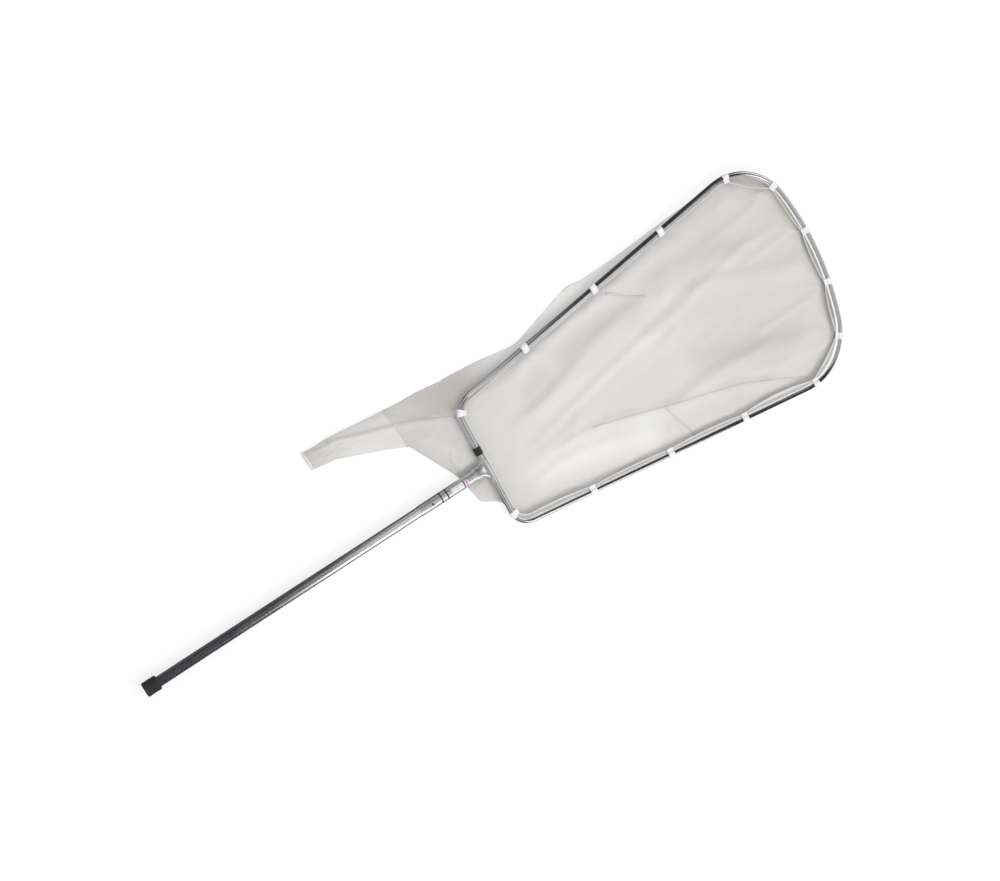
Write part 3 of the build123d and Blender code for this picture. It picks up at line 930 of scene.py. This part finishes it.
def mixed(tree, factor, first, second):
    node = tree.nodes.new("ShaderNodeMix")
    node.data_type = "RGBA"
    colours = [s for s in node.inputs if s.type == "RGBA"]
    for socket, value in zip([node.inputs[0], *colours], (factor, first, second)):
        if isinstance(value, bpy.types.NodeSocket):
            tree.links.new(value, socket)
        elif isinstance(value, tuple):
            socket.default_value = (*value, 1)
        else:
            socket.default_value = value
    return next(s for s in node.outputs if s.type == "RGBA")


def bumped(tree, shader, height, strength, distance):
    bump = tree.nodes.new("ShaderNodeBump")
    bump.inputs["Strength"].default_value = strength
    bump.inputs["Distance"].default_value = distance
    tree.links.new(height, bump.inputs["Height"])
    tree.links.new(bump.outputs[0], shader.inputs["Normal"])


# %% Cloth finishes
def mesh_cloth(name, single, double_layer_and_shade, pitch):
    """Fine nylon mesh: see-through, denser where the cloth says so, warmer with two layers and
    painted shade, paler with painted light.
    """
    material, tree, shader, place = start_material(
        name, Roughness=0.85, Sheen_Weight=0.15, Specular_IOR_Level=0.25
    )
    weave = use_group(tree, fine_weave, place, Pitch=pitch)
    cloud = use_group(tree, soft_blotches, place, Scale=4.0)
    tone = tree.nodes.new("ShaderNodeAttribute")
    tone.attribute_name = "tone"
    dense = tree.nodes.new("ShaderNodeAttribute")
    dense.attribute_name = "dense"
    # positive tone darkens towards the two-layer colour, also used for painted shade; negative tone
    # pales, which is painted light
    darker = mixed(tree, tone.outputs["Fac"], single, double_layer_and_shade)
    painted_light_share = math_node(tree, "MULTIPLY", tone.outputs["Fac"], -1.0)
    colour = mixed(tree, painted_light_share, darker, tuple(1 - (1 - c) * 0.5 for c in single))
    worn = mixed(tree, ranged(tree, cloud.outputs["Patches"], 0.0, 0.3), colour,
                 tuple(c * 0.9 for c in double_layer_and_shade))
    # painted shade in the gaps between the threads
    threaded = mixed(tree, ranged(tree, weave.outputs["Height"], 0.12, 0.0), worn, (0.3, 0.3, 0.3))
    tree.links.new(threaded, shader.inputs["Base Color"])
    open_weave = ranged(tree, weave.outputs["Thread"], 0.72, 1.0)
    solid = math_node(tree, "MAXIMUM", open_weave, ranged(tree, dense.outputs["Fac"], 0.7, 0.93))
    tree.links.new(solid, shader.inputs["Alpha"])
    bumped(tree, shader, weave.outputs["Height"], 0.3, 0.0004)
    return material


def tape_cloth(name, colour, shade):
    """Dense woven tape with a faint rib."""
    material, tree, shader, place = start_material(
        name, Roughness=0.8, Sheen_Weight=0.2, Specular_IOR_Level=0.25
    )
    weave = use_group(tree, fine_weave, place, Pitch=0.0011)
    cloud = use_group(tree, soft_blotches, place, Scale=20.0)
    worn = mixed(tree, ranged(tree, cloud.outputs["Patches"], 0.0, 0.6), colour, shade)
    tree.links.new(worn, shader.inputs["Base Color"])
    bumped(tree, shader, weave.outputs["Height"], 0.4, 0.0003)
    return material


mesh_pitch = 1.5 * MM
bag_material = mesh_cloth("bag_mesh", (0.64, 0.632, 0.626), (0.46, 0.435, 0.40), mesh_pitch)
tail_material = mesh_cloth("tail_mesh", (0.72, 0.712, 0.70), (0.54, 0.525, 0.505), mesh_pitch)
rim_material = tape_cloth("hem_tape", (0.71, 0.695, 0.65), (0.60, 0.585, 0.54))
seam_material = tape_cloth("seam_tape", (0.56, 0.55, 0.525), (0.50, 0.485, 0.46))
thread_material = tape_cloth("thread", (0.74, 0.73, 0.70), (0.6, 0.59, 0.56))


# %% Metal finishes
def polished_metal(name, colour, dull, roughness, dents=0.0):
    """Bright aluminium with duller, rougher handling marks."""
    material, tree, shader, place = start_material(name, Metallic=1.0, Specular_IOR_Level=0.5)
    cloud = use_group(tree, soft_blotches, place, Scale=14.0)
    marks = ranged(tree, cloud.outputs["Patches"], 0.0, 0.8)
    tree.links.new(mixed(tree, marks, colour, dull), shader.inputs["Base Color"])
    rough = ranged(tree, cloud.outputs["Patches"], roughness * 0.7, roughness * 1.5)
    tree.links.new(rough, shader.inputs["Roughness"])
    if dents:
        bumped(tree, shader, cloud.outputs["Patches"], dents, 0.001)
    return material


pole_material = polished_metal("pole_metal", (0.84, 0.84, 0.85), (0.72, 0.72, 0.74), 0.19)
hoop_material = polished_metal("hoop_metal", (0.80, 0.80, 0.81), (0.66, 0.66, 0.68), 0.16)
tee_material = polished_metal("tee_metal", (0.86, 0.86, 0.86), (0.74, 0.74, 0.75), 0.33, 0.2)


# %% Plastic, rubber and print finishes
def moulded(name, colour, worn, roughness, grain, coat=0.0):
    """Moulded plastic or rubber with a fine grain and paler, rougher patches."""
    material, tree, shader, place = start_material(
        name, Coat_Weight=coat, Coat_Roughness=0.15, Specular_IOR_Level=0.5
    )
    cloud = use_group(tree, soft_blotches, place, Scale=45.0)
    patches = ranged(tree, cloud.outputs["Patches"], 0.0, 0.8)
    tree.links.new(mixed(tree, patches, colour, worn), shader.inputs["Base Color"])
    rough = ranged(tree, cloud.outputs["Patches"], roughness * 0.85, min(1.0, roughness * 1.2))
    tree.links.new(rough, shader.inputs["Roughness"])
    bumped(tree, shader, cloud.outputs["Grain"], grain, 0.0003)
    return material


def striped_label(name):
    """Pale printed film: two plain stripes at the end nearer the hoop."""
    material, tree, shader, place = start_material(name, Coat_Weight=0.4, Coat_Roughness=0.12)
    low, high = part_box("socket_label")
    split = tree.nodes.new("ShaderNodeSeparateXYZ")
    tree.links.new(place, split.inputs[0])
    along = tree.nodes.new("ShaderNodeMapRange")
    along.inputs["From Min"].default_value = low.x
    along.inputs["From Max"].default_value = high.x
    tree.links.new(split.outputs["X"], along.inputs["Value"])
    bands = tree.nodes.new("ShaderNodeValToRGB")
    bands.color_ramp.interpolation = "CONSTANT"
    stops = [(0.0, (0.66, 0.66, 0.68)), (0.34, (0.50, 0.51, 0.53)), (0.42, (0.66, 0.66, 0.68)),
             (0.70, (0.05, 0.06, 0.25)), (0.80, (0.66, 0.66, 0.68)), (0.86, (0.45, 0.05, 0.06)),
             (0.93, (0.66, 0.66, 0.68))]
    while len(bands.color_ramp.elements) < len(stops):
        bands.color_ramp.elements.new(0.5)
    for element, (position, colour) in zip(bands.color_ramp.elements, stops):
        element.position = position
        element.color = (*colour, 1)
    tree.links.new(along.outputs[0], bands.inputs["Fac"])
    cloud = use_group(tree, soft_blotches, place, Scale=60.0)
    faded = mixed(tree, ranged(tree, cloud.outputs["Patches"], 0.0, 0.35), bands.outputs[0],
                  (0.6, 0.6, 0.6))
    tree.links.new(faded, shader.inputs["Base Color"])
    tree.links.new(ranged(tree, cloud.outputs["Grain"], 0.25, 0.45), shader.inputs["Roughness"])
    return material


clip_material = moulded("clip_plastic", (0.80, 0.79, 0.84), (0.72, 0.71, 0.76), 0.35, 0.06, 0.3)
black_material = moulded("black_plastic", (0.012, 0.012, 0.013), (0.03, 0.03, 0.03), 0.5, 0.25)
rubber_material = moulded("cap_rubber", (0.016, 0.016, 0.017), (0.035, 0.034, 0.033), 0.75, 0.4)
grey_material = moulded("grey_plastic", (0.25, 0.25, 0.26), (0.32, 0.32, 0.33), 0.45, 0.15)
nylon_material = moulded("nylon", (0.68, 0.66, 0.6), (0.6, 0.58, 0.52), 0.4, 0.1, 0.1)
print_material = moulded("black_print", (0.008, 0.008, 0.010), (0.03, 0.03, 0.035), 0.4, 0.05, 0.2)
label_material = striped_label("label_film")

# %% Paint the frame's own parts
finishes = {
    "pole_tube": pole_material,
    "hoop_tube": hoop_material,
    "yoke_tee": tee_material,
    "joint_collar": black_material,
    "pole_end_cap": rubber_material,
    "lock_spindle": grey_material,
    "expander_sleeve": nylon_material,
    "socket_label": label_material,
    "depth_band_1": print_material,
    "depth_band_2": print_material,
    "twist_mark": print_material,
}
for name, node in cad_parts.items():
    finish = clip_material if name.startswith("frame_clip") else finishes.get(name)
    if finish:
        node.data.materials.clear()
        node.data.materials.append(finish)
print("painted", len(finishes) + len(clip_places), "parts of the frame")

# %% Make the stitches
rim_inner = [Vector(point) for point in rim_path]
for i, point in enumerate(rim_inner):
    inward = loop_inward(rim_steps[i])
    point += Vector((*inward, 1.0)) * rim_thickness
stitch_paths.append(rim_inner + rim_inner[:1])

bm = bmesh.new()
for path in stitch_paths:
    verts = [bm.verts.new(point) for point in path]
    for a, b in zip(verts, verts[1:]):
        bm.edges.new((a, b))
bmesh.ops.remove_doubles(bm, verts=bm.verts, dist=0.01 * MM)
stitch_source = new_piece("stitch_lines", bm)
stitches = made_by(
    stitch_tree(), "stitches", stitch_source,
    step=6 * MM, stitch_length=4.2 * MM, thread_radius=0.45 * MM, seed=4,
    thread_material=thread_material,
)
print("stitches", len(stitches.data.polygons), "faces")

# %% Join the new pieces to their body
cloth_pieces = [
    (bag_cloth, bag_material, "bag_mesh", ["bag_lower_panel", "bag_side_band", "bag_throat_panel"]),
    (tail_cloth, tail_material, "tail_mesh", ["tail_sleeve"]),
    (rim_tape, rim_material, "hem_tape", ["mouth_hem"]),
    (tail_tape, rim_material, "hem_tape", ["tail_hem"]),
    (seam_tapes, seam_material, "hem_tape", []),
    (stitches, thread_material, "hem_tape", []),
]
for piece, material, slot, nodes in cloth_pieces:
    piece.data.materials.clear()
    piece.data.materials.append(material)
    if nodes:
        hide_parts(*nodes)
    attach(piece, "frame")


def cloth_area(piece):
    depsgraph = bpy.context.evaluated_depsgraph_get()
    return sum(face.area for face in piece.evaluated_get(depsgraph).to_mesh().polygons)


print(f"bag {cloth_area(bag_cloth):.3f} m2, tail {cloth_area(tail_cloth):.4f} m2")

# %% [markdown]
# ## Stage, light and camera
# A pale floor and even light all round keep the cloth soft. Polished tube shows whatever stands
# round it, so the room has its own look for reflections alone: grey ahead and behind, and dark
# across the middle. One light is for the cloth, and the panels are for the metal: a tall one on the
# lower side gives the pole its bright line, and one overhead its silver. Where the panels end, the
# metal turns dark.


# %% Floor that is pale to the eye, with faint shadows, and dim in the metal
def floor_material():
    material = bpy.data.materials.new("pale_floor")
    material.use_nodes = True
    tree = material.node_tree
    shader = tree.nodes["Principled BSDF"]
    shader.inputs["Roughness"].default_value = 0.9
    shader.inputs["Specular IOR Level"].default_value = 0.0
    path = tree.nodes.new("ShaderNodeLightPath")
    unseen = mixed(tree, path.outputs["Is Glossy Ray"], (0.93, 0.93, 0.93), (0.08, 0.08, 0.08))
    colour = mixed(tree, path.outputs["Is Camera Ray"], unseen, (0.27, 0.27, 0.27))
    tree.links.new(colour, shader.inputs["Base Color"])
    shader.inputs["Emission Color"].default_value = (1, 1, 1, 1)
    glow = math_node(tree, "MULTIPLY", path.outputs["Is Camera Ray"], 0.72)
    tree.links.new(glow, shader.inputs["Emission Strength"])
    return material


bm = bmesh.new()
bmesh.ops.create_grid(bm, x_segments=1, y_segments=1, size=14)
floor = new_piece("floor", bm, smooth=False)
floor.location.z = cad_box[0].z - 0.3 * MM
floor.data.materials.append(floor_material())


# %% Lights
def softbox(name, place, aim, width, depth, power, metal=True, cloth=True):
    """A soft panel of light; metal=False hides it in reflections, cloth=False in matt surfaces."""
    light = bpy.data.lights.new(name, "AREA")
    light.shape = "RECTANGLE"
    light.size = width
    light.size_y = depth
    light.energy = power
    lamp = bpy.data.objects.new(name, light)
    lamp.location = place
    lamp.rotation_euler = (Vector(aim) - Vector(place)).to_track_quat("-Z", "Y").to_euler()
    lamp.visible_glossy = metal
    lamp.visible_diffuse = cloth
    lamp.visible_camera = False
    bpy.context.scene.collection.objects.link(lamp)


softbox("cloth_light", (1.0, -2.8, 3.1), (0.2, 0, 0), 2.2, 2.2, 72, metal=False)
softbox("metal_side", (0.52, -2.6, 1.95), (0.52, 0, 1.95), 1.7, 3.5, 31, cloth=False)
softbox("metal_top", (0.68, 0.3, 3.9), (0.68, 0.3, 0), 1.36, 5.4, 17, cloth=False)
softbox("metal_back", (0.45, 3.1, 1.95), (0.45, 0, 1.95), 0.8, 3.7, 4, cloth=False)
softbox("metal_ahead", (4.0, -0.5, 2.1), (0, -0.5, 2.1), 5.0, 3.7, 45, cloth=False)
softbox("metal_behind", (-3.2, -0.8, 1.9), (0, -0.8, 1.9), 2.4, 3.2, 3, cloth=False)


def room():
    """Pale all round for the cloth; in reflections, grey ahead and behind with a dark band across."""
    world = bpy.data.worlds.new("room")
    world.use_nodes = True
    tree = world.node_tree
    pale = tree.nodes["Background"]
    pale.inputs["Color"].default_value = (1.0, 1.0, 1.0, 1)
    pale.inputs["Strength"].default_value = 0.96
    mirrored = tree.nodes.new("ShaderNodeBackground")
    facing = tree.nodes.new("ShaderNodeTexCoord")
    split = tree.nodes.new("ShaderNodeSeparateXYZ")
    tree.links.new(facing.outputs["Generated"], split.inputs[0])
    sides = []
    for start, end in ((-0.16, -0.32), (0.60, 0.72)):
        side = tree.nodes.new("ShaderNodeMapRange")
        side.inputs["From Min"].default_value = start
        side.inputs["From Max"].default_value = end
        tree.links.new(split.outputs["X"], side.inputs["Value"])
        sides.append(side.outputs[0])
    lit = math_node(tree, "MAXIMUM", *sides)
    upward = mixed(tree, split.outputs["Z"], (0.14, 0.14, 0.15), (0.62, 0.62, 0.63))
    tree.links.new(mixed(tree, lit, (0.016, 0.017, 0.024), upward), mirrored.inputs["Color"])
    path = tree.nodes.new("ShaderNodeLightPath")
    mix = tree.nodes.new("ShaderNodeMixShader")
    tree.links.new(path.outputs["Is Glossy Ray"], mix.inputs[0])
    tree.links.new(pale.outputs[0], mix.inputs[1])
    tree.links.new(mirrored.outputs[0], mix.inputs[2])
    tree.links.new(mix.outputs[0], tree.nodes["World Output"].inputs[0])
    return world


bpy.context.scene.world = room()
bpy.context.scene.view_settings.view_transform = "Standard"

# %% Camera
camera_data = bpy.data.cameras.new("camera")
camera_data.lens = 50
camera_back = 0.980
camera_aside = 1.011
camera_height = 3.503
camera = bpy.data.objects.new("camera", camera_data)
bpy.context.scene.collection.objects.link(camera)
bpy.context.scene.camera = camera
ahead = Vector((0.2774, -0.2556, -0.9261))
picture_up = Vector((0.5220, 0.8494, -0.0781))
right = ahead.cross(picture_up).normalized()
turn = Matrix((right, right.cross(ahead), -ahead)).transposed().to_4x4()
stand = Vector((crossbar_x - camera_back, camera_aside, axis_z + camera_height))
camera.matrix_world = Matrix.Translation(stand) @ turn
print("camera at", [round(c, 3) for c in camera.matrix_world.translation])
